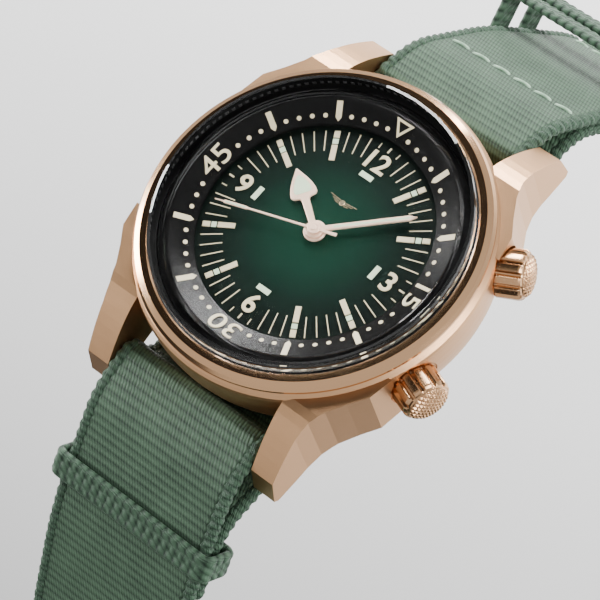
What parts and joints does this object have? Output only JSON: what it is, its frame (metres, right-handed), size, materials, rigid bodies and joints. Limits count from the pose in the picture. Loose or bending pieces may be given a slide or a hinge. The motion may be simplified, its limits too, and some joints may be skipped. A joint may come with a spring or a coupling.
{
  "type": "dive watch",
  "caption": "Bronze dive watch with inner rotating bezel, two fluted crowns, box crystal, automatic movement and an open green webbing strap with pin buckle.",
  "frame": {"origin": "on the flat underside of the strap, where it lies on the wrist, directly under the centre of the dial", "axes": "+Z out of the dial, +Y towards 12 o'clock, +X towards 3 o'clock"},
  "size_m": [0.0448, 0.1063, 0.1366],
  "materials": {
    "bronze_case": "fine brushed bronze",
    "bronze_polished": "polished bronze",
    "sapphire": "clear, polished",
    "gasket_white": "moulded",
    "seal_rubber": "moulded",
    "steel": "rhodium plated, satin",
    "spring_steel": "polished steel",
    "brass_gilt": "gilt",
    "blued_steel": "heat-blued",
    "ruby": "polished",
    "dial_green": "sunburst lacquer fading to black",
    "bezel_black": "gloss black",
    "hand_gold": "polished rose gold",
    "webbing": "ribbed nylon webbing"
  },
  "bodies": {
    "head": {"mid_case": "bronze_case", "bezel_ring": "bronze_polished", "crystal": "sapphire", "crystal_gasket": "gasket_white", "case_back": "bronze_case", "case_back_gasket": "seal_rubber", "movement_holder": "steel", "dial": "dial_green", "bezel_crown_tube": "steel", "time_crown_tube": "steel", "main_plate": "steel", "barrel_bridge": "steel", "train_bridge": "steel", "balance_cock": "steel", "pallet_bridge": "steel", "rotor_screw": "spring_steel", "bridge_screws": "blued_steel", "case_clamps": "steel", "clamp_screws": "blued_steel", "jewels": "ruby", "spring_bars": "steel", "strap_long": "webbing", "strap_short": "webbing", "keeper_6": "webbing", "keeper_12_inner": "webbing", "keeper_12_outer": "webbing", "buckle_bar": "bronze_polished"},
    "inner_bezel": {"inner_bezel": "bezel_black"},
    "bezel_pinion": {"bezel_pinion": "brass_gilt"},
    "bezel_crown": {"bezel_crown": "bronze_polished", "bezel_crown_seal": "seal_rubber"},
    "winding_pinion": {"winding_pinion": "spring_steel"},
    "time_crown": {"time_crown": "bronze_polished", "time_crown_seal": "seal_rubber"},
    "crown_wheel": {"crown_wheel": "spring_steel"},
    "ratchet_wheel": {"ratchet_wheel": "spring_steel"},
    "barrel": {"barrel": "brass_gilt", "mainspring": "spring_steel"},
    "minute": {"centre_wheel": "brass_gilt", "cannon_pinion": "brass_gilt", "minute_hand": "hand_gold"},
    "third_wheel": {"third_wheel": "brass_gilt"},
    "seconds": {"fourth_wheel": "brass_gilt", "seconds_hand": "hand_gold"},
    "escape_wheel": {"escape_wheel": "spring_steel"},
    "pallet_fork": {"pallet_fork": "spring_steel"},
    "balance": {"balance_wheel": "brass_gilt", "hairspring": "spring_steel"},
    "minute_wheel": {"minute_wheel": "brass_gilt"},
    "hour": {"hour_wheel": "brass_gilt", "hour_hand": "hand_gold"},
    "rotor": {"rotor": "steel"},
    "bar_tip_12_left": {"bar_tip_12_left": "steel"},
    "bar_tip_12_right": {"bar_tip_12_right": "steel"},
    "bar_tip_6_left": {"bar_tip_6_left": "steel"},
    "bar_tip_6_right": {"bar_tip_6_right": "steel"},
    "buckle_frame": {"buckle_frame": "bronze_polished"},
    "buckle_tongue": {"buckle_tongue": "bronze_polished"}
  },
  "joints": [
    {"name": "inner_bezel_turn", "type": "hinge", "parent": "head", "child": "inner_bezel", "pos_m": [0, 0, 0.0126], "axis": [0, 0, 1], "continuous": true},
    {"name": "bezel_pinion_turn", "type": "hinge", "parent": "head", "child": "bezel_pinion", "pos_m": [0, 0, 0.0091], "axis": [0.8988, 0.4384, 0], "continuous": true},
    {"name": "bezel_crown_pull", "type": "slide", "parent": "bezel_pinion", "child": "bezel_crown", "axis": [0.8988, 0.4384, 0], "range_m": [0, 0.0008]},
    {"name": "winding_pinion_turn", "type": "hinge", "parent": "head", "child": "winding_pinion", "pos_m": [0, 0, 0.0091], "axis": [0.9455, -0.3256, 0], "continuous": true},
    {"name": "time_crown_pull", "type": "slide", "parent": "winding_pinion", "child": "time_crown", "axis": [0.9455, -0.3256, 0], "range_m": [0, 0.0012]},
    {"name": "crown_wheel_turn", "type": "hinge", "parent": "head", "child": "crown_wheel", "pos_m": [0.01031, -0.00355, 0.0076], "axis": [0, 0, 1], "continuous": true},
    {"name": "ratchet_wheel_turn", "type": "hinge", "parent": "head", "child": "ratchet_wheel", "pos_m": [0.00527, 0.00141, 0.0076], "axis": [0, 0, 1], "continuous": true},
    {"name": "barrel_turn", "type": "hinge", "parent": "head", "child": "barrel", "pos_m": [0.00527, 0.00141, 0.0076], "axis": [0, 0, 1], "continuous": true},
    {"name": "minute_hand_turn", "type": "hinge", "parent": "head", "child": "minute", "pos_m": [0, 0, 0.0126], "axis": [0, 0, 1], "continuous": true},
    {"name": "third_wheel_turn", "type": "hinge", "parent": "head", "child": "third_wheel", "pos_m": [-0.00407, -0.00407, 0.0076], "axis": [0, 0, 1], "continuous": true},
    {"name": "seconds_hand_turn", "type": "hinge", "parent": "head", "child": "seconds", "pos_m": [0, 0, 0.0126], "axis": [0, 0, 1], "continuous": true},
    {"name": "escape_wheel_turn", "type": "hinge", "parent": "head", "child": "escape_wheel", "pos_m": [-0.00427, 0.00359, 0.0076], "axis": [0, 0, 1], "continuous": true},
    {"name": "pallet_swing", "type": "hinge", "parent": "head", "child": "pallet_fork", "pos_m": [-0.00303, 0.00607, 0.0076], "axis": [0, 0, 1], "range_deg": [-4, 4]},
    {"name": "balance_swing", "type": "hinge", "parent": "head", "child": "balance", "pos_m": [-0.00153, 0.00867, 0.0076], "axis": [0, 0, 1], "range_deg": [-270, 270], "stiffness_Nm_per_rad": 0.000001},
    {"name": "minute_wheel_turn", "type": "hinge", "parent": "head", "child": "minute_wheel", "pos_m": [0.0018, 0.00312, 0.0101], "axis": [0, 0, 1], "continuous": true},
    {"name": "hour_hand_turn", "type": "hinge", "parent": "head", "child": "hour", "pos_m": [0, 0, 0.0126], "axis": [0, 0, 1], "continuous": true},
    {"name": "rotor_turn", "type": "hinge", "parent": "head", "child": "rotor", "pos_m": [0, 0, 0.0051], "axis": [0, 0, 1], "continuous": true},
    {"name": "bar_tip_12_left_press", "type": "slide", "parent": "head", "child": "bar_tip_12_left", "axis": [1, 0, 0], "range_m": [0, 0.0013], "stiffness_N_per_m": 2000, "springref_m": -0.0003},
    {"name": "bar_tip_12_right_press", "type": "slide", "parent": "head", "child": "bar_tip_12_right", "axis": [-1, 0, 0], "range_m": [0, 0.0013], "stiffness_N_per_m": 2000, "springref_m": -0.0003},
    {"name": "bar_tip_6_left_press", "type": "slide", "parent": "head", "child": "bar_tip_6_left", "axis": [1, 0, 0], "range_m": [0, 0.0013], "stiffness_N_per_m": 2000, "springref_m": -0.0003},
    {"name": "bar_tip_6_right_press", "type": "slide", "parent": "head", "child": "bar_tip_6_right", "axis": [-1, 0, 0], "range_m": [0, 0.0013], "stiffness_N_per_m": 2000, "springref_m": -0.0003},
    {"name": "buckle_frame_swing", "type": "hinge", "parent": "head", "child": "buckle_frame", "pos_m": [0, 0.0504, -0.02669], "axis": [1, 0, 0], "range_deg": [-45, 45]},
    {"name": "buckle_tongue_swing", "type": "hinge", "parent": "buckle_frame", "child": "buckle_tongue", "pos_m": [0, 0.0504, -0.02669], "axis": [1, 0, 0], "range_deg": [0, 70]}
  ],
  "couplings": [
    {"joint": "bezel_pinion_turn", "follows": "inner_bezel_turn", "ratio": -14},
    {"joint": "winding_pinion_turn", "follows": "crown_wheel_turn", "ratio": -1.8},
    {"joint": "ratchet_wheel_turn", "follows": "crown_wheel_turn", "ratio": -0.56522},
    {"joint": "hour_hand_turn", "follows": "minute_hand_turn", "ratio": 0.083333},
    {"joint": "minute_wheel_turn", "follows": "minute_hand_turn", "ratio": -0.33333},
    {"joint": "third_wheel_turn", "follows": "minute_hand_turn", "ratio": -8},
    {"joint": "seconds_hand_turn", "follows": "minute_hand_turn", "ratio": 60},
    {"joint": "escape_wheel_turn", "follows": "minute_hand_turn", "ratio": -480},
    {"joint": "barrel_turn", "follows": "minute_hand_turn", "ratio": -0.16667}
  ]
}
